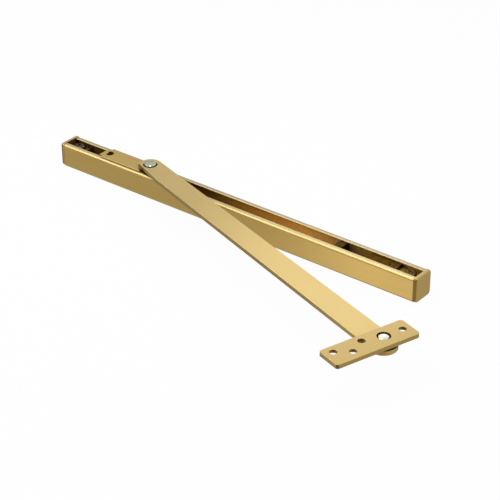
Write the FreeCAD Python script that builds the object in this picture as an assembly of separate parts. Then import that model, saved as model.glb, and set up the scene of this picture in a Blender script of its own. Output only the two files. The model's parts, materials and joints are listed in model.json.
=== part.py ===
"""Overhead channel-type door holder: channel, sliding block with its plate, swinging arm and jamb bracket.

Frame, in millimetres: origin at the centre of the channel's mounting face, +X along the channel towards
the buffer end, +Z up through the slot. The slide sits near the low-X end and the arm is swung to -Y.
"""
import FreeCAD
import Part
import math
import os

Vec = FreeCAD.Vector

# ---------------------------------------------------------------- channel and end caps
overall_length = 458.0
channel_width = 24.8
channel_height = 26.4
wall = 1.8
slot_width = 13.4
outer_corner = 3.0
inner_corner = 1.2
lip_edge_radius = 1.1
cap_thickness = 4.4
cap_width = 25.2
cap_height = 27.0
cap_low_corner = 4.4
cap_edge_radius = 2.2
end_block_low_x = 203.5
buffer_block_low_x = 199.2
end_block_width = 21.0
end_block_top = 20.4
end_screw_inset = 16.0
end_screw_head_radius = 6.2
end_screw_head_height = 4.6
end_screw_shank_radius = 3.0
end_screw_thread_radius = 2.5
mount_hole_radius = 3.3
mount_hole_spacing = 148.0
mount_hole_middle_x = -46.0

# ---------------------------------------------------------------- slide
pivot_x = -112.4
slide_low_x = -179.0
slide_high_x = -98.0
slide_width = 20.6
slide_bottom = 8.0
slide_clearance = 0.3
slide_corner = 1.6
neck_width = 12.4
plate_low_x = -173.0
plate_tip_x = -118.6
plate_width = 20.6
plate_bottom = 26.7
plate_top = 28.3
plate_hole_x = -169.2
plate_hole_radius = 4.4
shoe_height = 14.0
shoe_radius = 4.4
shoe_inner_y = 2.0
adjuster_radius = 3.0
adjuster_recess_bottom = 21.8
adjuster_head_radius = 3.6
adjuster_top = 24.6
washer_top = 28.7
washer_radius = 9.0
plate_pin_radius = 1.5
plate_pin_low = 20.9
plate_pin_high = 27.5
plate_notch = 0.4
slide_stud_foot = 10.1

# ---------------------------------------------------------------- arm
arm_angle = -18.56
arm_pivot_distance = 402.66
arm_slide_end_radius = 12.1
arm_jamb_end_rear = 13.2
arm_jamb_end_front = 14.3
relief_start = (33.0, -11.7)
relief_corner_angle = 225.0
arm_bottom = 29.0
arm_top = 33.6
arm_edge_radius = 0.35
stud_radius = 4.0
bushing_bore_radius = 4.05
bushing_outer_radius = 5.5
head_recess_radius = 7.4
head_recess_depth = 2.4
head_radius = 6.2
head_side_height = 2.7

# ---------------------------------------------------------------- jamb bracket
jamb_angle = 71.9
jamb_length = 91.2
jamb_width = 27.4
jamb_bottom = 36.3
jamb_top = 40.8
jamb_centre_offset = -15.9
jamb_side_offset = -0.7
jamb_edge_radius = 0.35
jamb_corner_radius = 3.0
jamb_sunk_holes = ((-52.0, 4.3), (-37.0, -4.5), (20.6, -0.4))
jamb_plain_hole = (-21.0, 4.7)
jamb_screw_radius = 3.7
jamb_sink_depth = 1.8
jamb_recess_radius = 6.6
jamb_recess_depth = 2.8
jamb_head_radius = 5.2
jamb_flange_radius = 7.0
jamb_flange_thickness = 1.8
spacer_radius = 9.0

# ---------------------------------------------------------------- buffer
buffer_axis_z = 12.5
housing_low_x = 164.4
housing_high_x = 198.4
housing_width = 21.0
housing_top = 24.2
housing_bore_radius = 7.0
housing_bore_depth = 31.0
housing_screw_inset = 7.0
housing_screw_radius = 2.0
housing_screw_head_radius = 3.5
housing_screw_tip = 4.6
gland_length = 4.0
gland_flange = 1.0
rod_radius = 3.0
rod_tail_x = 181.0
collar_radius = 6.5
collar_length = 2.5
buffer_guide_width = 20.6
carrier_low_x = 129.7
carrier_high_x = 135.0
pad_low_x = 125.2
pad_inset = 0.4
pad_corner = 2.0
pad_rim_radius = 1.2
buffer_guide_bottom = 2.2
buffer_guide_top = 24.2
spring_wire_radius = 0.8
spring_mean_radius = 5.2
spring_turns = 6.5
lock_screw_x = 189.5
lock_screw_radius = 2.5

half = overall_length / 2.0
channel_end_x = half - cap_thickness
touching = 1e-5


def box(x0, x1, y0, y1, z0, z1):
    return Part.makeBox(x1 - x0, y1 - y0, z1 - z0, Vec(x0, y0, z0))


def rod_z(x, y, z0, z1, radius):
    return Part.makeCylinder(radius, z1 - z0, Vec(x, y, z0), Vec(0, 0, 1))


def rod_x(x0, x1, y, z, radius):
    return Part.makeCylinder(radius, x1 - x0, Vec(x0, y, z), Vec(1, 0, 0))


def rod_y(x, y0, y1, z, radius):
    return Part.makeCylinder(radius, y1 - y0, Vec(x, y0, z), Vec(0, 1, 0))


def turned(points, x, y):
    """Solid of revolution about a vertical axis, from (radius, height) points."""
    corners = [Vec(r, 0, z) for r, z in points]
    face = Part.Face(Part.makePolygon(corners + [corners[0]]))
    solid = face.revolve(Vec(0, 0, 0), Vec(0, 0, 1), 360)
    solid.translate(Vec(x, y, 0))
    return solid


def edges_where(shape, test):
    return [edge for edge in shape.Edges if test(edge)]


def runs_along(edge, axis):
    first = edge.Vertexes[0].Point
    last = edge.Vertexes[-1].Point
    step = last - first
    if step.Length < 1e-6:
        return False
    return abs(abs(step.normalize().dot(axis)) - 1.0) < 1e-6


def rounded_bar(x0, x1, y0, y1, z0, z1, radius):
    """Box with its four edges along X rounded."""
    solid = box(x0, x1, y0, y1, z0, z1)
    long_edges = edges_where(solid, lambda e: runs_along(e, Vec(1, 0, 0)))
    return solid.makeFillet(radius, long_edges)


def face_edges(shape, height):
    """Edges lying in the horizontal plane at the given height."""
    def flat(edge):
        box_of = edge.BoundBox
        return abs(box_of.ZMin - height) < touching and abs(box_of.ZMax - height) < touching
    return edges_where(shape, flat)


def soften(shape, heights, radius):
    """Round the outline edges of a flat plate at the given heights."""
    chosen = []
    for height in heights:
        chosen = chosen + face_edges(shape, height)
    return shape.makeFillet(radius, chosen)


def cross_recess(x, y, top, reach, depth):
    """Tapered cross for a driver, cut from the top of a screw head."""
    width = reach * 0.42
    one = box(x - reach, x + reach, y - width / 2, y + width / 2, top - depth, top + 1.0)
    two = box(x - width / 2, x + width / 2, y - reach, y + reach, top - depth, top + 1.0)
    cone = Part.makeCone(0.2, reach * 1.1, depth + 1.0, Vec(x, y, top - depth), Vec(0, 0, 1))
    return one.fuse(two).common(cone.fuse(one.common(two)))


def hex_prism(x, y, z0, z1, across_flats):
    corner = across_flats / math.sqrt(3.0)
    points = []
    for step in range(7):
        angle = math.radians(60.0 * step)
        points.append(Vec(x + corner * math.cos(angle), y + corner * math.sin(angle), z0))
    return Part.Face(Part.makePolygon(points)).extrude(Vec(0, 0, z1 - z0))


# ---------------------------------------------------------------- fixed channel

def channel():
    x0 = -channel_end_x
    x1 = channel_end_x
    hw = channel_width / 2
    outer = rounded_bar(x0, x1, -hw, hw, 0, channel_height, outer_corner)
    inner = rounded_bar(x0 - 1, x1 + 1, wall - hw, hw - wall, wall, channel_height - wall, inner_corner)
    slot_y = slot_width / 2
    slot = box(x0 - 1, x1 + 1, -slot_y, slot_y, channel_height - wall - 1, channel_height + 1)
    body = outer.cut(inner).cut(slot)

    def lip_edge(edge):
        middle = edge.BoundBox.Center
        at_slot = abs(abs(middle.y) - slot_y) < touching
        return at_slot and abs(middle.z - channel_height) < touching and runs_along(edge, Vec(1, 0, 0))
    body = body.makeFillet(lip_edge_radius, edges_where(body, lip_edge))
    for step in (-1, 0, 1):
        x = mount_hole_middle_x + step * mount_hole_spacing
        body = body.cut(rod_z(x, 0, -1, wall + 1, mount_hole_radius))
    for side in (-1, 1):
        x = side * (half - end_screw_inset)
        body = body.cut(rod_z(x, 0, -1, wall + 1, end_screw_thread_radius))
    sink_radius = housing_screw_head_radius + 0.1
    for x in housing_screw_positions():
        body = body.cut(rod_z(x, 0, -1, wall + 1, housing_screw_radius))
        body = body.cut(Part.makeCone(sink_radius, housing_screw_radius, wall, Vec(x, 0, 0), Vec(0, 0, 1)))
    return body


def cap_plate():
    """End plate with its upper corners as on the channel and its lower corners rounder."""
    y = cap_width / 2
    plate = box(channel_end_x, half, -y, y, 0, cap_height)

    def corner(edge, top):
        return runs_along(edge, Vec(1, 0, 0)) and (edge.BoundBox.Center.z > cap_height / 2) == top
    plate = plate.makeFillet(outer_corner, edges_where(plate, lambda e: corner(e, True)))
    low_corners = edges_where(plate, lambda e: corner(e, False) and abs(e.BoundBox.Center.z) < touching)
    plate = plate.makeFillet(cap_low_corner, low_corners)

    def outer_rim(edge):
        where = edge.BoundBox
        return abs(where.XMin - half) < touching and abs(where.XMax - half) < touching
    return plate.makeFillet(cap_edge_radius, edges_where(plate, outer_rim))


def end_cap(side):
    """Cap with its inner block. side is -1 for the low-X end and 1 for the buffer end."""
    y = end_block_width / 2
    block_low_x = end_block_low_x if side < 0 else buffer_block_low_x
    block = rounded_bar(block_low_x, channel_end_x, -y, y, wall, end_block_top, inner_corner)
    solid = cap_plate().fuse(block).removeSplitter()
    screw_x = half - end_screw_inset
    solid = solid.cut(rod_z(screw_x, 0, 0.5, end_block_top + 1, end_screw_shank_radius + 0.05))
    if side < 0:
        solid = solid.mirror(Vec(0, 0, 0), Vec(1, 0, 0))
    return solid


def end_screw(x):
    """Pan head screw standing on the end block, its threaded end in the channel's floor."""
    seat = end_block_top
    radius = end_screw_head_radius
    height = end_screw_head_height
    thread = end_screw_thread_radius
    shank = end_screw_shank_radius
    profile = [(0, 0.2), (thread, 0.2), (thread, wall), (shank, wall), (shank, seat), (radius, seat),
               (radius, seat + height * 0.45), (radius * 0.93, seat + height * 0.68),
               (radius * 0.78, seat + height * 0.86), (radius * 0.5, seat + height * 0.97),
               (0, seat + height)]
    return turned(profile, x, 0).cut(cross_recess(x, 0, seat + height, radius * 0.62, height * 0.62))


def end_screws():
    return Part.makeCompound([end_screw(side * (half - end_screw_inset)) for side in (-1, 1)])


# ---------------------------------------------------------------- buffer

def housing_screw_positions():
    return (housing_low_x + housing_screw_inset, housing_high_x - housing_screw_inset)


def buffer_housing():
    y = housing_width / 2
    solid = rounded_bar(housing_low_x, housing_high_x, -y, y, wall, housing_top, inner_corner)

    def end_rim(edge):
        where = edge.BoundBox
        low = abs(where.XMin - housing_low_x) < touching and abs(where.XMax - housing_low_x) < touching
        high = abs(where.XMin - housing_high_x) < touching and abs(where.XMax - housing_high_x) < touching
        return low or high
    solid = solid.makeChamfer(0.5, edges_where(solid, end_rim))
    bore_end = housing_low_x + housing_bore_depth
    solid = solid.cut(rod_x(housing_low_x - 1, bore_end, 0, buffer_axis_z, housing_bore_radius))
    for x in housing_screw_positions():
        solid = solid.cut(rod_z(x, 0, wall - 1, housing_screw_tip + 0.3, housing_screw_radius))
    bore_roof = buffer_axis_z + housing_bore_radius
    return solid.cut(rod_z(lock_screw_x, 0, bore_roof - 1, housing_top + 1, lock_screw_radius))


def housing_screws():
    screws = []
    for x in housing_screw_positions():
        profile = [(0, 0.1), (housing_screw_head_radius, 0.1), (housing_screw_radius, wall),
                   (housing_screw_radius, housing_screw_tip), (0, housing_screw_tip)]
        driver_slot = box(x - 4, x + 4, -0.4, 0.4, -1, 0.9)
        screws.append(turned(profile, x, 0).cut(driver_slot))
    return Part.makeCompound(screws)


def lock_screw():
    low = buffer_axis_z + housing_bore_radius + 0.3
    high = housing_top - 0.3
    r = lock_screw_radius
    profile = [(0, low), (r - 0.6, low), (r, low + 0.6), (r, high - 0.3), (r - 0.3, high), (0, high)]
    return turned(profile, lock_screw_x, 0).cut(hex_prism(lock_screw_x, 0, high - 1.8, high + 1, r))


def gland_bushing():
    x0 = housing_low_x
    x1 = housing_low_x + gland_length
    ring = rod_x(x0, x1, 0, buffer_axis_z, housing_bore_radius)
    flange = rod_x(x0 - gland_flange, x0, 0, buffer_axis_z, housing_bore_radius + 1.2)
    bore = rod_x(x0 - 2, x1 + 1, 0, buffer_axis_z, rod_radius + 0.06)
    return ring.fuse(flange).removeSplitter().cut(bore)


def buffer_rod():
    collar_x = housing_low_x + gland_length + 0.3
    stem = rod_x(carrier_low_x, rod_tail_x, 0, buffer_axis_z, rod_radius)
    collar = rod_x(collar_x, collar_x + collar_length, 0, buffer_axis_z, collar_radius)
    rod = stem.fuse(collar).removeSplitter()

    def tail_rim(edge):
        return abs(edge.BoundBox.XMin - rod_tail_x) < touching and edge.BoundBox.XLength < touching
    return rod.makeChamfer(0.6, edges_where(rod, tail_rim))


def buffer_carrier():
    y = buffer_guide_width / 2
    low = buffer_guide_bottom
    high = buffer_guide_top
    solid = rounded_bar(carrier_low_x, carrier_high_x, -y, y, low, high, inner_corner)
    return solid.cut(rod_x(carrier_low_x - 1, carrier_high_x + 1, 0, buffer_axis_z, rod_radius))


def buffer_pad():
    y = buffer_guide_width / 2 - pad_inset
    low = buffer_guide_bottom + pad_inset
    high = buffer_guide_top - pad_inset
    solid = rounded_bar(pad_low_x, carrier_low_x, -y, y, low, high, pad_corner)

    def front_rim(edge):
        where = edge.BoundBox
        return abs(where.XMin - pad_low_x) < touching and abs(where.XMax - pad_low_x) < touching
    return solid.makeFillet(pad_rim_radius, edges_where(solid, front_rim))


def spring_start():
    return housing_low_x + gland_length + 0.3 + collar_length + 0.05


def spring_end():
    return housing_low_x + housing_bore_depth - 0.05


def buffer_spring():
    """Compression coil between the rod's collar and the floor of the bore."""
    length = spring_end() - spring_start() - 2 * spring_wire_radius
    pitch = length / spring_turns
    path = Part.makeHelix(pitch, length, spring_mean_radius)
    start = Vec(spring_mean_radius, 0, 0)
    climb = pitch / (2 * math.pi * spring_mean_radius)
    ring = Part.makeCircle(spring_wire_radius, start, Vec(0, 1, climb))
    wire = Part.Wire([ring])
    coil = Part.Wire(path.Edges).makePipeShell([wire], True, True)
    coil.rotate(Vec(0, 0, 0), Vec(0, 1, 0), 90)
    coil.translate(Vec(spring_start() + spring_wire_radius, 0, buffer_axis_z))
    return coil


# ---------------------------------------------------------------- slide

def slide_block():
    y = slide_width / 2
    shoulder = channel_height - wall - slide_clearance
    base = rounded_bar(slide_low_x, slide_high_x, -y, y, slide_bottom, shoulder, slide_corner)
    neck = box(slide_low_x, slide_high_x, -neck_width / 2, neck_width / 2, shoulder - 1, plate_bottom)
    boss = rod_z(pivot_x, 0, shoulder - 1, plate_top, neck_width / 2)
    solid = base.fuse(neck).fuse(boss).removeSplitter()
    solid = solid.cut(rod_z(pivot_x, 0, slide_stud_foot - 0.1, plate_top + 1, stud_radius))
    solid = solid.cut(rod_z(plate_hole_x, 0, shoe_height, plate_bottom + 1, adjuster_radius))
    solid = solid.cut(rod_z(plate_hole_x, 0, adjuster_recess_bottom, plate_bottom + 1, plate_hole_radius))
    solid = solid.cut(rod_y(plate_hole_x, -y - 1, y + 1, shoe_height, shoe_radius))
    for x in plate_pin_positions():
        solid = solid.cut(rod_z(x, 0, plate_pin_low - 0.2, plate_bottom + 1, plate_pin_radius))
    return solid


def plate_pin_positions():
    return (-158.0, -130.0)


def slide_plate():
    y = plate_width / 2
    notch_x = plate_tip_x - y + plate_notch
    outline = [Vec(plate_low_x, -y, plate_bottom), Vec(plate_tip_x, -y, plate_bottom),
               Vec(notch_x, -plate_notch, plate_bottom), Vec(notch_x, plate_notch, plate_bottom),
               Vec(plate_tip_x, y, plate_bottom), Vec(plate_low_x, y, plate_bottom)]
    face = Part.Face(Part.makePolygon(outline + [outline[0]]))
    solid = face.extrude(Vec(0, 0, plate_top - plate_bottom))
    top_edges = [e for e in face_edges(solid, plate_top) if e.Length > 5.0]
    solid = solid.makeFillet(0.3, top_edges)
    solid = solid.cut(rod_z(plate_hole_x, 0, plate_bottom - 1, plate_top + 1, plate_hole_radius))
    for x in plate_pin_positions():
        solid = solid.cut(rod_z(x, 0, plate_bottom - 1, plate_pin_high + 0.1, plate_pin_radius))
    return solid


def plate_pins():
    pins = []
    for x in plate_pin_positions():
        pins.append(rod_z(x, 0, plate_pin_low, plate_pin_high, plate_pin_radius))
    return Part.makeCompound(pins)


def friction_screw():
    """Adjusting screw whose cone spreads the two shoes against the channel walls."""
    tip = shoe_height - 3.0
    seat = adjuster_recess_bottom
    top = adjuster_top
    r = adjuster_head_radius
    profile = [(0, tip), (0.6, tip), (2.2, shoe_height + 2.0), (adjuster_radius, shoe_height + 4.6),
               (adjuster_radius, seat), (r, seat), (r, top - 0.5), (r - 0.5, top), (0, top)]
    solid = turned(profile, plate_hole_x, 0)
    return solid.cut(hex_prism(plate_hole_x, 0, top - 1.8, top + 1, 3.2))


def friction_shoes():
    shoes = []
    outer_y = channel_width / 2 - wall - slide_clearance
    bore = Part.makeCone(0.75, 2.6, 6.0, Vec(plate_hole_x, 0, shoe_height - 3.0), Vec(0, 0, 1))
    shank = rod_z(plate_hole_x, 0, shoe_height + 1.5, shoe_height + 9, adjuster_radius + 0.1)
    for side in (-1, 1):
        shoe = rod_y(plate_hole_x, shoe_inner_y, outer_y, shoe_height, shoe_radius)
        shoe = shoe.cut(bore).cut(shank)
        if side < 0:
            shoe = shoe.mirror(Vec(0, 0, 0), Vec(0, 1, 0))
        shoes.append(shoe)
    return Part.makeCompound(shoes)


def thrust_washer():
    ring = rod_z(pivot_x, 0, plate_top, washer_top, washer_radius)
    return ring.cut(rod_z(pivot_x, 0, plate_top - 1, washer_top + 1, stud_radius))


def slide_stud():
    """Domed rivet that holds the arm on the slide."""
    under = arm_top - head_recess_depth + 0.3
    r = head_radius
    side = under + head_side_height
    foot = slide_stud_foot
    profile = [(0, foot), (stud_radius - 0.4, foot), (stud_radius, foot + 0.4), (stud_radius, under),
               (r, under), (r, side),
               (r - 0.2, side + 0.35), (r - 0.7, side + 0.65), (r - 1.8, side + 0.95),
               (r - 3.5, side + 1.15), (0, side + 1.25)]
    return turned(profile, pivot_x, 0)


# ---------------------------------------------------------------- arm

def place_on_arm(shape):
    """Turn a shape made with the slide pivot at the origin and the arm along +X into place."""
    shape.rotate(Vec(0, 0, 0), Vec(0, 0, 1), arm_angle)
    shape.translate(Vec(pivot_x, 0, 0))
    return shape


def arm_outline(z):
    """Bar with round ends, wider at the jamb end, its front edge relieved next to the slide."""
    near = arm_slide_end_radius
    far = arm_pivot_distance
    corner_angle = math.radians(relief_corner_angle)
    corner = Vec(near * math.cos(corner_angle), near * math.sin(corner_angle), z)
    rear_start = Vec(0, near, z)
    rear_end = Vec(far, arm_jamb_end_rear, z)
    front_end = Vec(far, -arm_jamb_end_front, z)
    front_start = Vec(relief_start[0], relief_start[1], z)
    far_radius = (arm_jamb_end_rear + arm_jamb_end_front) / 2
    far_tip = Vec(far + far_radius, arm_jamb_end_rear - far_radius, z)
    edges = [Part.Arc(rear_start, Vec(-near, 0, z), corner), Part.LineSegment(corner, front_start),
             Part.LineSegment(front_start, front_end), Part.Arc(front_end, far_tip, rear_end),
             Part.LineSegment(rear_end, rear_start)]
    return Part.Wire([edge.toShape() for edge in edges])


def arm_bar():
    bar = Part.Face(arm_outline(arm_bottom)).extrude(Vec(0, 0, arm_top - arm_bottom))
    bar = soften(bar, (arm_top, arm_bottom), arm_edge_radius)
    floor = arm_top - head_recess_depth
    bar = bar.cut(rod_z(0, 0, arm_bottom - 1, arm_top + 1, bushing_outer_radius))
    bar = bar.cut(rod_z(0, 0, floor, arm_top + 1, head_recess_radius))
    rim = [e for e in face_edges(bar, arm_top) if abs(e.BoundBox.XLength - 2 * head_recess_radius) < 0.01]
    bar = bar.makeChamfer(0.3, rim)
    far = arm_pivot_distance
    bar = bar.cut(rod_z(far, 0, arm_bottom - 1, arm_top + 1, bushing_outer_radius))
    return place_on_arm(bar)


def slide_end_bushing():
    top = arm_top - head_recess_depth
    ring = rod_z(0, 0, arm_bottom, top, bushing_outer_radius)
    return place_on_arm(ring.cut(rod_z(0, 0, arm_bottom - 1, top + 1, bushing_bore_radius)))


def jamb_end_bushing():
    far = arm_pivot_distance
    ring = rod_z(far, 0, arm_bottom, arm_top, bushing_outer_radius)
    return place_on_arm(ring.cut(rod_z(far, 0, arm_bottom - 1, arm_top + 1, bushing_bore_radius)))


# ---------------------------------------------------------------- jamb bracket

def jamb_pivot():
    angle = math.radians(arm_angle)
    x = pivot_x + arm_pivot_distance * math.cos(angle)
    y = arm_pivot_distance * math.sin(angle)
    return Vec(x, y, 0)


def place_on_jamb(shape):
    """Turn a shape made with the jamb pivot at the origin and the plate along +X into place."""
    shape.rotate(Vec(0, 0, 0), Vec(0, 0, 1), jamb_angle)
    shape.translate(jamb_pivot())
    return shape


def jamb_plate():
    x0 = jamb_centre_offset - jamb_length / 2
    x1 = jamb_centre_offset + jamb_length / 2
    y0 = jamb_side_offset - jamb_width / 2
    y1 = jamb_side_offset + jamb_width / 2
    plate = box(x0, x1, y0, y1, jamb_bottom, jamb_top)
    corners = edges_where(plate, lambda e: runs_along(e, Vec(0, 0, 1)))
    plate = plate.makeFillet(jamb_corner_radius, corners)
    plate = soften(plate, (jamb_top, jamb_bottom), jamb_edge_radius)
    plate = plate.cut(rod_z(0, 0, jamb_bottom - 1, jamb_top + 1, stud_radius))
    plate = plate.cut(rod_z(0, 0, jamb_top - jamb_recess_depth, jamb_top + 1, jamb_recess_radius))
    for x, y in jamb_sunk_holes + (jamb_plain_hole,):
        plate = plate.cut(rod_z(x, y, jamb_bottom - 1, jamb_top + 1, jamb_screw_radius))
    wide = jamb_screw_radius + jamb_sink_depth
    for x, y in jamb_sunk_holes:
        foot = Vec(x, y, jamb_bottom)
        plate = plate.cut(Part.makeCone(wide, jamb_screw_radius, jamb_sink_depth, foot, Vec(0, 0, 1)))
    return place_on_jamb(plate)


def jamb_stud():
    """Stud riveted into the plate, with a flat flange under the arm."""
    floor = jamb_top - jamb_recess_depth
    flange_top = arm_bottom - 0.3
    flange_low = flange_top - jamb_flange_thickness
    r = jamb_head_radius
    rim = jamb_flange_radius
    profile = [(0, flange_low), (rim - 0.6, flange_low), (rim, flange_low + 0.5), (rim, flange_top),
               (stud_radius, flange_top), (stud_radius, floor), (r, floor), (r, floor + 1.7),
               (r - 0.3, floor + 2.05), (r - 1.2, floor + 2.35), (r - 3.0, floor + 2.5), (0, floor + 2.6)]
    return place_on_jamb(turned(profile, 0, 0))


def jamb_spacer():
    low = arm_top + 0.3
    ring = rod_z(0, 0, low, jamb_bottom, spacer_radius)
    return place_on_jamb(ring.cut(rod_z(0, 0, low - 1, jamb_bottom + 1, stud_radius)))


nodes = {
    "channel": channel(),
    "left_end_cap": end_cap(-1),
    "right_end_cap": end_cap(1),
    "end_screws": end_screws(),
    "buffer_housing": buffer_housing(),
    "housing_screws": housing_screws(),
    "lock_screw": lock_screw(),
    "gland_bushing": gland_bushing(),
    "buffer_rod": buffer_rod(),
    "buffer_carrier": buffer_carrier(),
    "buffer_pad": buffer_pad(),
    "buffer_spring": buffer_spring(),
    "slide_block": slide_block(),
    "slide_plate": slide_plate(),
    "plate_pins": plate_pins(),
    "friction_screw": friction_screw(),
    "friction_shoes": friction_shoes(),
    "thrust_washer": thrust_washer(),
    "slide_stud": slide_stud(),
    "arm_bar": arm_bar(),
    "slide_end_bushing": slide_end_bushing(),
    "jamb_end_bushing": jamb_end_bushing(),
    "jamb_plate": jamb_plate(),
    "jamb_stud": jamb_stud(),
    "jamb_spacer": jamb_spacer(),
}

os.makedirs("parts", exist_ok=True)
for name, shape in nodes.items():
    if not shape.isValid():
        raise ValueError("invalid shape: " + name)
    shape.exportStep("parts/" + name + ".step")
    print(name, round(shape.Volume, 1), shape.BoundBox)
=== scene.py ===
import json
import math

import bpy
from mathutils import Matrix, Vector


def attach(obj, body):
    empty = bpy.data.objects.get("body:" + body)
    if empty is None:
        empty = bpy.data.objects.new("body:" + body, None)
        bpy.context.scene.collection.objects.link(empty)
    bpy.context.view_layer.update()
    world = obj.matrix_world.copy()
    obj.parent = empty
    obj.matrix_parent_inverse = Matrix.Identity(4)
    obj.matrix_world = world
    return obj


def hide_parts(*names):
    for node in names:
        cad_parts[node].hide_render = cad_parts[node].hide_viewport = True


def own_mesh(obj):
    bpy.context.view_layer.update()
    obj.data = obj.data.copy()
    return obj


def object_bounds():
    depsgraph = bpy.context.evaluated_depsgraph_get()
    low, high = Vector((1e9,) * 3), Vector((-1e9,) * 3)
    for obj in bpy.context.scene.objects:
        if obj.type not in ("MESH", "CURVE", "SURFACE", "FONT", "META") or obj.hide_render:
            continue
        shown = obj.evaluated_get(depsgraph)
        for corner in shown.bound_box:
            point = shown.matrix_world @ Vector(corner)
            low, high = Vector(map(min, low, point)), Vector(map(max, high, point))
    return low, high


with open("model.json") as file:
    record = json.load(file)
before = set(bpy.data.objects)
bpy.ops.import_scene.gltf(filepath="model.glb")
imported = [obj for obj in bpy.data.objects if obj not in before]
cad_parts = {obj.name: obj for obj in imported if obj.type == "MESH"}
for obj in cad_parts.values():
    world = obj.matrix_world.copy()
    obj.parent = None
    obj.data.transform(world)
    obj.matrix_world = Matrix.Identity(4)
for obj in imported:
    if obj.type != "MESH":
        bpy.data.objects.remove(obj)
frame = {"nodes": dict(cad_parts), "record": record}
cad_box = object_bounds()
nodes = frame["nodes"]

# ------------------------------------------------------------------ node helpers

# where most values of a noise texture lie
NOISE_RANGE = (0.3, 0.7)
materials = {}


def new_material(name):
    """Nodes and shader of a new material, which is kept in materials under its name."""
    material = bpy.data.materials.new(name)
    materials[name] = material
    material.use_nodes = True
    tree = material.node_tree
    tree.nodes.clear()
    out = tree.nodes.new("ShaderNodeOutputMaterial")
    shader = tree.nodes.new("ShaderNodeBsdfPrincipled")
    tree.links.new(shader.outputs["BSDF"], out.inputs["Surface"])
    return tree, shader


def coordinates(tree, scale, turn=0.0):
    """Object coordinates turned about Z, then scaled."""
    source = tree.nodes.new("ShaderNodeTexCoord")
    turned = tree.nodes.new("ShaderNodeMapping")
    turned.vector_type = "POINT"
    turned.inputs["Rotation"].default_value = (0.0, 0.0, -turn)
    stretched = tree.nodes.new("ShaderNodeMapping")
    stretched.vector_type = "POINT"
    stretched.inputs["Scale"].default_value = scale
    tree.links.new(source.outputs["Object"], turned.inputs["Vector"])
    tree.links.new(turned.outputs["Vector"], stretched.inputs["Vector"])
    return stretched.outputs["Vector"]


def split(tree, output):
    """X, Y and Z of a point's place (Object) or of the way its face looks (Normal)."""
    source = tree.nodes.new("ShaderNodeTexCoord")
    parts = tree.nodes.new("ShaderNodeSeparateXYZ")
    tree.links.new(source.outputs[output], parts.inputs["Vector"])
    return parts.outputs


def noise(tree, vector, scale, detail, roughness):
    node = tree.nodes.new("ShaderNodeTexNoise")
    node.inputs["Scale"].default_value = scale
    node.inputs["Detail"].default_value = detail
    node.inputs["Roughness"].default_value = roughness
    tree.links.new(vector, node.inputs["Vector"])
    return node.outputs["Fac"]


def calculate(tree, operation, *values):
    """The result of a Math node; each value is a socket or a plain number."""
    node = tree.nodes.new("ShaderNodeMath")
    node.operation = operation
    for socket, value in zip(node.inputs, values):
        if isinstance(value, float):
            socket.default_value = value
        else:
            tree.links.new(value, socket)
    return node.outputs["Value"]


def add(tree, first, second, amount=1.0):
    return calculate(tree, "MULTIPLY_ADD", second, amount, first)


def multiply(tree, first, second):
    return calculate(tree, "MULTIPLY", first, second)


def absolute(tree, value):
    return calculate(tree, "ABSOLUTE", value)


def ramp(tree, value, low, high, at=NOISE_RANGE):
    """A number that goes from low to high between two values of the given one."""
    node = tree.nodes.new("ShaderNodeMapRange")
    node.inputs["From Min"].default_value = at[0]
    node.inputs["From Max"].default_value = at[1]
    node.inputs["To Min"].default_value = low
    node.inputs["To Max"].default_value = high
    tree.links.new(value, node.inputs["Value"])
    return node.outputs["Result"]


def mix_colours(tree, factor, first, second):
    node = tree.nodes.new("ShaderNodeMix")
    node.data_type = "RGBA"
    a = [s for s in node.inputs if s.name == "A" and s.type == "RGBA"][0]
    b = [s for s in node.inputs if s.name == "B" and s.type == "RGBA"][0]
    out = [s for s in node.outputs if s.type == "RGBA"][0]
    for socket, value in ((a, first), (b, second)):
        if isinstance(value, tuple):
            socket.default_value = (*value, 1.0)
        else:
            tree.links.new(value, socket)
    tree.links.new(factor, node.inputs["Factor"])
    return out


def bump(tree, height, distance, strength, after=None):
    node = tree.nodes.new("ShaderNodeBump")
    node.inputs["Strength"].default_value = strength
    node.inputs["Distance"].default_value = distance
    tree.links.new(height, node.inputs["Height"])
    if after is not None:
        tree.links.new(after, node.inputs["Normal"])
    return node.outputs["Normal"]


# ------------------------------------------------------------------ masks and colour runs

# each pair is where a mask starts and where it ends, in metres
INNER_WALL = (0.0108, 0.0112)
CAP_INNER_FACE = (0.2250, 0.2258)
LIP_UNDERSIDE = (0.0248, 0.0251)
FLOOR_UNDERSIDE = (0.0008, 0.0012)
LIP_TOP = (0.0240, 0.0262)
SLOT_MIDDLE = (-0.004, 0.004)
# and these are shares of a unit normal or of open sky
LEVEL_FACE = (0.25, 0.6)
CROSSWISE_FACE = (0.3, 0.6)
ROUNDED_EDGE = (0.04, 0.20)
OPEN_FACE = (0.30, 0.92)
CREVICE_SAMPLES = 8


def inside_channel(tree):
    """1 inside the channel's walls, 0 on its outer faces."""
    place = split(tree, "Object")
    between_walls = ramp(tree, absolute(tree, place["Y"]), 1.0, 0.0, INNER_WALL)
    between_caps = ramp(tree, absolute(tree, place["X"]), 1.0, 0.0, CAP_INNER_FACE)
    under_lips = ramp(tree, place["Z"], 1.0, 0.0, LIP_UNDERSIDE)
    above_floor = ramp(tree, place["Z"], 0.0, 1.0, FLOOR_UNDERSIDE)
    across = multiply(tree, between_walls, between_caps)
    return multiply(tree, across, multiply(tree, under_lips, above_floor))


def level(tree):
    """1 on faces that look up or down, 0 on faces that look sideways."""
    return ramp(tree, absolute(tree, split(tree, "Normal")["Z"]), 0.0, 1.0, LEVEL_FACE)


def crosswise(tree):
    """1 on faces that look along Y, 0 on faces that look along X or Z."""
    return ramp(tree, absolute(tree, split(tree, "Normal")["Y"]), 0.0, 1.0, CROSSWISE_FACE)


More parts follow.
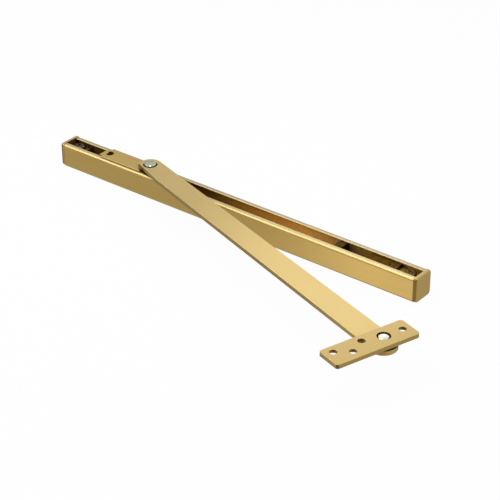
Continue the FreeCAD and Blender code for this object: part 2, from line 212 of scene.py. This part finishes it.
def rounded(tree):
    """1 on edges rounded towards the top or the bottom, 0 on flat and upright faces."""
    upward = split(tree, "Normal")["Z"]
    squared = multiply(tree, upward, upward)
    product = multiply(tree, squared, ramp(tree, squared, 1.0, 0.0, (0.0, 1.0)))
    return ramp(tree, product, 0.0, 1.0, ROUNDED_EDGE)


def crevice(tree, reach):
    """1 in holes and narrow gaps, 0 on open faces."""
    node = tree.nodes.new("ShaderNodeAmbientOcclusion")
    node.samples = CREVICE_SAMPLES
    node.inputs["Distance"].default_value = reach
    return ramp(tree, node.outputs["AO"], 1.0, 0.0, OPEN_FACE)


def run_of(tree, tones):
    """A plain colour as it is, or a colour that changes along X through (metres, colour) stops."""
    if not isinstance(tones[0], tuple):
        return tones
    start, end = tones[0][0], tones[-1][0]
    node = tree.nodes.new("ShaderNodeValToRGB")
    band = node.color_ramp
    while len(band.elements) < len(tones):
        band.elements.new(0.5)
    for element, (place, colour) in zip(band.elements, tones):
        element.position = (place - start) / (end - start)
        element.color = (*colour, 1.0)
    along = ramp(tree, split(tree, "Object")["X"], 0.0, 1.0, (start, end))
    tree.links.new(along, node.inputs["Fac"])
    return node.outputs["Color"]


# ------------------------------------------------------------------ kinds of finish

# cycles per metre along X, Y and Z
ALONG_GRAIN = (16.0, 800.0, 800.0)
CLOUDY = (22.0, 60.0, 60.0)
EVEN = (1.0, 1.0, 1.0)
# each noise is its scale, detail and roughness, each depth is in metres
LINES = (1.0, 4.0, 0.6)
CLOUDS = (1.0, 3.0, 0.5)
SPECKS = (900.0, 2.0, 0.6)
CLOUD_SHARE = 0.35
LINE_SHARE = 0.65
ROUGHNESS_SPREAD = 0.03
LINE_ROUGHNESS_SPREAD = 0.05
GRAIN_DEPTH = 0.000004
GRAIN_STRENGTH = 0.35
SPECK_DEPTH = 0.000002
SPECK_STRENGTH = 0.12
# where the painted highlight on rounded edges is patchy
HIGHLIGHT_PATCHES = (0.35, 0.6)
HIGHLIGHT_LEAST = 0.6
INSIDE_METALLIC = 0.55
INSIDE_ROUGHER = 0.12
LACQUER_ROUGHNESS = 0.22
LACQUER_IOR = 1.5

STEEL_CLOUDS = (260.0, 4.0, 0.6)
TURNING_MARKS = (2600.0, 2.0, 0.6)
STEEL_CLOUD_SHARE = 0.8
MARK_TONES = (-0.1, 0.3)
DULL_PATCH_ROUGHER = 0.08
BRIGHT_PATCH_SMOOTHER = 0.04
MARK_DEPTH = 0.000004
MARK_STRENGTH = 0.4

MOULD_GRAIN = (1800.0, 3.0, 0.6)
MOULD_DEPTH = 0.00003
MOULD_STRENGTH = 0.5
DUST = (140.0, 4.0, 0.65)
DUST_ROUGHNESS_SPREAD = 0.08
MOULDED_SPECULAR = 0.15


def satin_metal(name, colour, shade, rough, coat, grain=0.0, metallic=1.0, sides=None, top_sheen=None,
                across=None, edge_highlight=None, gap_shade=None, reach=0.008, inside=None):
    """Brushed and lacquered metal with its grain along X turned by an angle about Z.

    sides paints light and shade on the faces that look sideways, top_sheen a painted sheen on the
    front and the rear of the top, across painted shade on the faces that look along Y,
    edge_highlight a painted highlight on the rounded edges, gap_shade painted shade in the gaps up
    to reach deep, and inside painted light and shade on the faces within the channel.
    """
    tree, shader = new_material(name)
    lines = noise(tree, coordinates(tree, ALONG_GRAIN, grain), *LINES)
    clouds = noise(tree, coordinates(tree, CLOUDY, grain), *CLOUDS)
    specks = noise(tree, coordinates(tree, EVEN, grain), *SPECKS)

    tone = add(tree, ramp(tree, clouds, 0.0, CLOUD_SHARE), ramp(tree, lines, 0.0, 1.0), LINE_SHARE)
    body = mix_colours(tree, tone, shade, colour)
    cloudy_rough = ramp(tree, clouds, rough - ROUGHNESS_SPREAD, rough + ROUGHNESS_SPREAD)
    lined_rough = ramp(tree, lines, -LINE_ROUGHNESS_SPREAD, LINE_ROUGHNESS_SPREAD)
    roughness = add(tree, cloudy_rough, lined_rough)

    # painted shade: faces that look sideways get a darker colour, with painted light where the run
    # says so
    if sides is not None:
        body = mix_colours(tree, level(tree), run_of(tree, sides), body)
    # painted sheen: the tops of the lips and caps get paler tones, front and rear apart
    if top_sheen is not None:
        front_tone, rear_tone = top_sheen
        place = split(tree, "Object")
        to_rear = ramp(tree, place["Y"], 0.0, 1.0, SLOT_MIDDLE)
        top = mix_colours(tree, to_rear, front_tone, rear_tone)
        body = mix_colours(tree, ramp(tree, place["Z"], 0.0, 1.0, LIP_TOP), body, top)
    # painted shade: faces that look along Y get the across colour
    if across is not None:
        body = mix_colours(tree, crosswise(tree), body, run_of(tree, across))
    # painted highlight: rounded edges are painted paler, in cloudy patches
    if edge_highlight is not None:
        patches = ramp(tree, clouds, HIGHLIGHT_LEAST, 1.0, HIGHLIGHT_PATCHES)
        body = mix_colours(tree, multiply(tree, rounded(tree), patches), body, edge_highlight)
    # painted shade: holes, narrow gaps and corners are darkened where ambient occlusion finds them
    if gap_shade is not None:
        body = mix_colours(tree, crevice(tree, reach), body, gap_shade)

    shader.inputs["Metallic"].default_value = metallic
    shader.inputs["Coat Weight"].default_value = coat
    shader.inputs["Coat Roughness"].default_value = LACQUER_ROUGHNESS
    shader.inputs["Coat IOR"].default_value = LACQUER_IOR
    # painted light and shade on the faces within the channel, which are also made rougher, less
    # metallic and without lacquer
    if inside is not None:
        in_channel = inside_channel(tree)
        body = mix_colours(tree, in_channel, body, run_of(tree, inside))
        roughness = add(tree, roughness, in_channel, INSIDE_ROUGHER)
        less_metal = ramp(tree, in_channel, metallic, INSIDE_METALLIC, (0.0, 1.0))
        less_coat = ramp(tree, in_channel, coat, 0.0, (0.0, 1.0))
        tree.links.new(less_metal, shader.inputs["Metallic"])
        tree.links.new(less_coat, shader.inputs["Coat Weight"])

    tree.links.new(body, shader.inputs["Base Color"])
    tree.links.new(roughness, shader.inputs["Roughness"])
    brushed = bump(tree, lines, GRAIN_DEPTH, GRAIN_STRENGTH)
    tree.links.new(bump(tree, specks, SPECK_DEPTH, SPECK_STRENGTH, brushed), shader.inputs["Normal"])


def steel(name, colour, shade, rough, tint=(1.0, 1.0, 1.0)):
    """Plated or ground steel with fine turning marks and a cloudy finish."""
    tree, shader = new_material(name)
    even = coordinates(tree, EVEN)
    clouds = noise(tree, even, *STEEL_CLOUDS)
    marks = noise(tree, even, *TURNING_MARKS)
    tone = add(tree, ramp(tree, clouds, 0.0, STEEL_CLOUD_SHARE), ramp(tree, marks, *MARK_TONES))
    body = mix_colours(tree, tone, shade, run_of(tree, colour))
    roughness = ramp(tree, clouds, rough + DULL_PATCH_ROUGHER, rough - BRIGHT_PATCH_SMOOTHER)
    tree.links.new(body, shader.inputs["Base Color"])
    tree.links.new(roughness, shader.inputs["Roughness"])
    tree.links.new(bump(tree, marks, MARK_DEPTH, MARK_STRENGTH), shader.inputs["Normal"])
    shader.inputs["Metallic"].default_value = 1.0
    shader.inputs["Specular Tint"].default_value = (*tint, 1.0)


def moulded(name, colour, shade, rough):
    """Moulded rubber or nylon with a fine mould texture."""
    tree, shader = new_material(name)
    even = coordinates(tree, EVEN)
    grain = noise(tree, even, *MOULD_GRAIN)
    dust = noise(tree, even, *DUST)
    body = mix_colours(tree, ramp(tree, dust, 0.0, 1.0), shade, colour)
    roughness = ramp(tree, dust, rough - DUST_ROUGHNESS_SPREAD, rough + DUST_ROUGHNESS_SPREAD)
    tree.links.new(body, shader.inputs["Base Color"])
    tree.links.new(roughness, shader.inputs["Roughness"])
    tree.links.new(bump(tree, grain, MOULD_DEPTH, MOULD_STRENGTH), shader.inputs["Normal"])
    shader.inputs["Specular IOR Level"].default_value = MOULDED_SPECULAR


# ------------------------------------------------------------------ finishes

# directions of the brushed grain
ARM_GRAIN = math.radians(-18.56)
JAMB_GRAIN = math.radians(71.9)
CAP_GRAIN = math.radians(90)

BRASS = (0.62, 0.410, 0.105)
BRASS_SHADE = (0.54, 0.350, 0.085)
# painted highlight: paler brass for the front lip top and the slide plate's rounded edges, a dimmer
# one for the rear lip
PALE_HIGHLIGHT = (0.62, 0.48, 0.22)
REAR_HIGHLIGHT = (0.48, 0.38, 0.195)
CAP_TOP = (0.55, 0.40, 0.14)
PLATE_BRASS = (0.62, 0.425, 0.120)
PLATE_SHADE = (0.55, 0.37, 0.100)
BAR_BRASS = (0.68, 0.505, 0.192)
BAR_SHADE = (0.61, 0.445, 0.160)
BAR_SIDE_SHADE = (0.39, 0.25, 0.058)
BAR_END_LIGHT = (0.62, 0.410, 0.110)
# painted highlight for the bar's rounded edges
BAR_EDGE_HIGHLIGHT = (0.78, 0.64, 0.34)
JAMB_BRASS = (0.58, 0.42, 0.150)
JAMB_SHADE = (0.52, 0.37, 0.125)
# painted shade on the jamb plate's sides and, darker, on its faces that look along Y
JAMB_SIDE_SHADE = (0.49, 0.33, 0.095)
JAMB_END_SHADE = (0.26, 0.165, 0.040)
# painted highlight for the jamb plate's rounded edges
JAMB_EDGE_HIGHLIGHT = (0.60, 0.46, 0.20)
SLIDE_ZINC = (0.61, 0.42, 0.115)
SLIDE_SHADE = (0.54, 0.365, 0.095)
# painted shade for holes, narrow gaps and corners
GAP_SHADE = (0.14, 0.075, 0.015)
SHADED_BLOCK = (0.15, 0.088, 0.020)
GREY_SCREW = (0.13, 0.115, 0.085)
SHADED_BROWN_SCREW = (0.19, 0.120, 0.030)
BLACKENED = (0.13, 0.075, 0.020)
HOUSING_END_LIGHT = (0.30, 0.180, 0.040)

# painted light and shade inside the channel: darker towards the left, brightest just right of the
# middle, dimmer by the buffer and brighter again at the right end
SLOT_LIGHT_AND_SHADE = (
    (-0.229, (0.22, 0.125, 0.022)),
    (-0.090, (0.24, 0.135, 0.022)),
    (-0.040, (0.31, 0.160, 0.024)),
    (0.000, (0.60, 0.345, 0.046)),
    (0.080, (0.86, 0.600, 0.175)),
    (0.120, (0.70, 0.460, 0.120)),
    (0.150, (0.52, 0.310, 0.060)),
    (0.229, (0.70, 0.420, 0.080)))
# the end blocks: the left one painted dark as shade, the right one brown
BLOCK_SHADE_TONES = (
    (-0.229, SHADED_BLOCK),
    (0.190, SHADED_BLOCK),
    (0.200, (0.36, 0.215, 0.040)),
    (0.229, (0.50, 0.300, 0.060)))
# painted shade: a dark band on the faces of each cap that look along Y, by the joint with the
# channel
CAP_SIDE_SHADE = (
    (-0.2290, (0.06, 0.036, 0.010)),
    (-0.2266, (0.12, 0.075, 0.020)),
    (-0.2256, BRASS),
    (0.2246, (0.190, 0.108, 0.018)),
    (0.2270, (0.215, 0.125, 0.022)),
    (0.2286, BRASS))
# the left end screw in its own grey, the right one painted dim brown as shade and reflection of the
# brass around it
SCREW_TONES_AND_SHADE = (
    (-0.229, GREY_SCREW),
    (0.000, GREY_SCREW),
    (0.100, SHADED_BROWN_SCREW),
    (0.229, SHADED_BROWN_SCREW))
# painted shade on the bar's sides, and painted light on its rounded end under the jamb plate
BAR_SIDE_LIGHT_AND_SHADE = (
    (-0.140, BAR_SIDE_SHADE),
    (0.255, BAR_SIDE_SHADE),
    (0.264, BAR_END_LIGHT),
    (0.300, BAR_END_LIGHT))
# the blackened housing, with its right end face painted lighter over its shade
HOUSING_TONES_AND_LIGHT = (
    (0.160, BLACKENED),
    (0.1972, BLACKENED),
    (0.1980, HOUSING_END_LIGHT),
    (0.200, HOUSING_END_LIGHT))

satin_metal("satin_brass", BRASS, BRASS_SHADE, 0.36, 0.5, metallic=0.92,
            top_sheen=(PALE_HIGHLIGHT, REAR_HIGHLIGHT), gap_shade=GAP_SHADE, reach=0.010, inside=SLOT_LIGHT_AND_SHADE)
satin_metal("cap_brass", BRASS, BRASS_SHADE, 0.34, 0.12, CAP_GRAIN, metallic=0.92,
            top_sheen=(CAP_TOP, CAP_TOP), across=CAP_SIDE_SHADE, inside=BLOCK_SHADE_TONES)
satin_metal("plate_brass", PLATE_BRASS, PLATE_SHADE, 0.38, 0.25, edge_highlight=PALE_HIGHLIGHT, gap_shade=GAP_SHADE)
satin_metal("arm_brass", BAR_BRASS, BAR_SHADE, 0.36, 0.25, ARM_GRAIN,
            sides=BAR_SIDE_LIGHT_AND_SHADE, edge_highlight=BAR_EDGE_HIGHLIGHT, gap_shade=GAP_SHADE, reach=0.005)
satin_metal("jamb_brass", JAMB_BRASS, JAMB_SHADE, 0.36, 0.25, JAMB_GRAIN,
            sides=JAMB_SIDE_SHADE, across=JAMB_END_SHADE, edge_highlight=JAMB_EDGE_HIGHLIGHT, gap_shade=GAP_SHADE)
satin_metal("slide_zinc", SLIDE_ZINC, SLIDE_SHADE, 0.40, 0.2, gap_shade=GAP_SHADE, reach=0.005)
satin_metal("bronze", (0.42, 0.27, 0.10), (0.33, 0.20, 0.08), 0.45, 0.0)
steel("zinc_steel", (0.16, 0.13, 0.08), (0.09, 0.07, 0.04), 0.28, (0.8, 0.6, 0.3))
steel("dull_steel", SCREW_TONES_AND_SHADE, (0.05, 0.042, 0.030), 0.30, (0.9, 0.75, 0.5))
steel("ground_steel", (0.40, 0.36, 0.28), (0.28, 0.25, 0.19), 0.30)
steel("polished_steel", (0.50, 0.56, 0.44), (0.43, 0.49, 0.38), 0.20)
steel("bright_steel", (0.80, 0.81, 0.69), (0.70, 0.71, 0.59), 0.24)
steel("spring_steel", (0.26, 0.26, 0.27), (0.15, 0.15, 0.15), 0.34)
steel("black_steel", HOUSING_TONES_AND_LIGHT, (0.08, 0.046, 0.012), 0.45, (0.7, 0.4, 0.1))
moulded("buffer_rubber", (0.060, 0.040, 0.018), (0.040, 0.028, 0.012), 0.62)
moulded("nylon", (0.110, 0.040, 0.022), (0.070, 0.026, 0.015), 0.55)

# nodes that look different from the rest of their material slot
OWN_FINISH = {"jamb_stud": "bright_steel", "end_screws": "dull_steel", "lock_screw": "dull_steel"}

slot_of = {piece["node"]: piece["material_slot"] for piece in frame["record"]["subparts"]}
for name, node in nodes.items():
    finish = materials[OWN_FINISH.get(name, slot_of[name])]
    if not node.material_slots:
        node.data.materials.append(finish)
    for place in node.material_slots:
        place.material = finish

# ------------------------------------------------------------------ buffer spring

# a copy of the buffer spring on its own mesh, carried by the channel, is shown in its place
coil = bpy.data.objects.new("buffer_coil", nodes["buffer_spring"].data.copy())
bpy.context.scene.collection.objects.link(coil)
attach(coil, "channel")
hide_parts("buffer_spring")
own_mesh(coil)

# ------------------------------------------------------------------ floor

FLOOR_GAP = 0.0005
FLOOR_REACH = 40.0
FLOOR_GREY = 0.03
FLOOR_GLOW = 0.96
floor_z = cad_box[0][2] - FLOOR_GAP
floor_mesh = bpy.data.meshes.new("floor")
floor_mesh.from_pydata(
    [(-FLOOR_REACH, -FLOOR_REACH, floor_z), (FLOOR_REACH, -FLOOR_REACH, floor_z),
     (FLOOR_REACH, FLOOR_REACH, floor_z), (-FLOOR_REACH, FLOOR_REACH, floor_z)],
    [], [(0, 1, 2, 3)])
floor = bpy.data.objects.new("floor", floor_mesh)
bpy.context.scene.collection.objects.link(floor)
_, floor_shader = new_material("pale_floor")
floor_shader.inputs["Base Color"].default_value = (FLOOR_GREY, FLOOR_GREY, FLOOR_GREY, 1.0)
floor_shader.inputs["Roughness"].default_value = 0.9
floor_shader.inputs["Specular IOR Level"].default_value = 0.0
floor_shader.inputs["Emission Color"].default_value = (1.0, 1.0, 1.0, 1.0)
floor_shader.inputs["Emission Strength"].default_value = FLOOR_GLOW
floor_mesh.materials.append(materials["pale_floor"])
# seen by the camera only, so that it lights nothing
floor.visible_diffuse = False
floor.visible_glossy = False
floor.visible_shadow = False

# ------------------------------------------------------------------ light

# name, place, aim, width and depth, power in watts
LIGHTS = (
    ("key", (-0.75, -0.85, 0.95), (0.03, -0.02, 0.02), (1.35, 1.05), 8.5),
    ("overhead", (-0.05, 0.26, 0.32), (0.20, -0.09, 0.03), (0.26, 0.20), 0.130),
    ("underlight", (0.02, -0.30, -0.20), (0.21, -0.01, 0.01), (0.19, 0.20), 0.094),
    ("right_rim", (0.75, 0.25, 0.75), (0.20, -0.08, 0.03), (0.35, 0.35), 0.9),
    ("top", (-0.10, -0.06, 0.90), (-0.10, -0.02, 0.03), (0.20, 0.20), 1.6))
for name, place, aim, size, power in LIGHTS:
    lamp = bpy.data.lights.new(name, "AREA")
    lamp.shape = "RECTANGLE"
    lamp.size, lamp.size_y = size
    lamp.energy = power
    light = bpy.data.objects.new(name, lamp)
    light.location = Vector(place)
    light.rotation_mode = "QUATERNION"
    light.rotation_quaternion = (Vector(place) - Vector(aim)).normalized().to_track_quat("Z", "Y")
    light.visible_camera = False
    bpy.context.scene.collection.objects.link(light)


def brightness_towards(tree, source, way, low, high, at):
    """A number that goes from low to high as a direction turns towards the given one."""
    toward = tree.nodes.new("ShaderNodeVectorMath")
    toward.operation = "DOT_PRODUCT"
    toward.inputs[1].default_value = Vector(way).normalized()
    tree.links.new(source, toward.inputs[0])
    return ramp(tree, toward.outputs["Value"], low, high, at)


# a soft white room: a direction, the light away from it and towards it, and how far round it reaches
BACK_WALL = ((-0.53, 0.68, 0.51), 0.62, 0.80, (0.1, 0.9))
DIM_FRONT = ((0.40, -0.917, 0.0), 1.0, 0.50, (0.60, 0.85))
DIM_BELOW = ((-0.527, 0.678, -0.513), 1.0, 0.20, (0.62, 0.90))
world = bpy.data.worlds.new("studio")
bpy.context.scene.world = world
world.use_nodes = True
world_tree = world.node_tree
world_tree.nodes.clear()
world_out = world_tree.nodes.new("ShaderNodeOutputWorld")
background = world_tree.nodes.new("ShaderNodeBackground")
background.inputs["Color"].default_value = (1.0, 1.0, 1.0, 1.0)
sky = world_tree.nodes.new("ShaderNodeTexCoord").outputs["Generated"]
back_wall = brightness_towards(world_tree, sky, *BACK_WALL)
dim_front = brightness_towards(world_tree, sky, *DIM_FRONT)
dim_below = brightness_towards(world_tree, sky, *DIM_BELOW)
room = multiply(world_tree, multiply(world_tree, back_wall, dim_front), dim_below)
world_tree.links.new(room, background.inputs["Strength"])
world_tree.links.new(background.outputs["Background"], world_out.inputs["Surface"])

# ------------------------------------------------------------------ camera

CAMERA_AT = (0.97721, -1.22405, 0.89660)
CAMERA_AZIMUTH = math.radians(38.03)
CAMERA_ELEVATION = math.radians(30.59)
SENSOR_WIDTH = 36.0
FOCAL_LENGTH = 127.37
camera_data = bpy.data.cameras.new("camera")
camera_data.sensor_width = SENSOR_WIDTH
camera_data.lens = FOCAL_LENGTH
camera_data.clip_start = 0.05
camera_data.clip_end = 200.0
camera = bpy.data.objects.new("camera", camera_data)
bpy.context.scene.collection.objects.link(camera)
back = Vector((
    math.sin(CAMERA_AZIMUTH) * math.cos(CAMERA_ELEVATION),
    -math.cos(CAMERA_AZIMUTH) * math.cos(CAMERA_ELEVATION),
    math.sin(CAMERA_ELEVATION)))
right = Vector((math.cos(CAMERA_AZIMUTH), math.sin(CAMERA_AZIMUTH), 0.0))
up = back.cross(right)
turn = Matrix((right, up, back)).transposed()
camera.matrix_world = Matrix.Translation(Vector(CAMERA_AT)) @ turn.to_4x4()
bpy.context.scene.camera = camera
bpy.context.scene.view_settings.view_transform = "Standard"
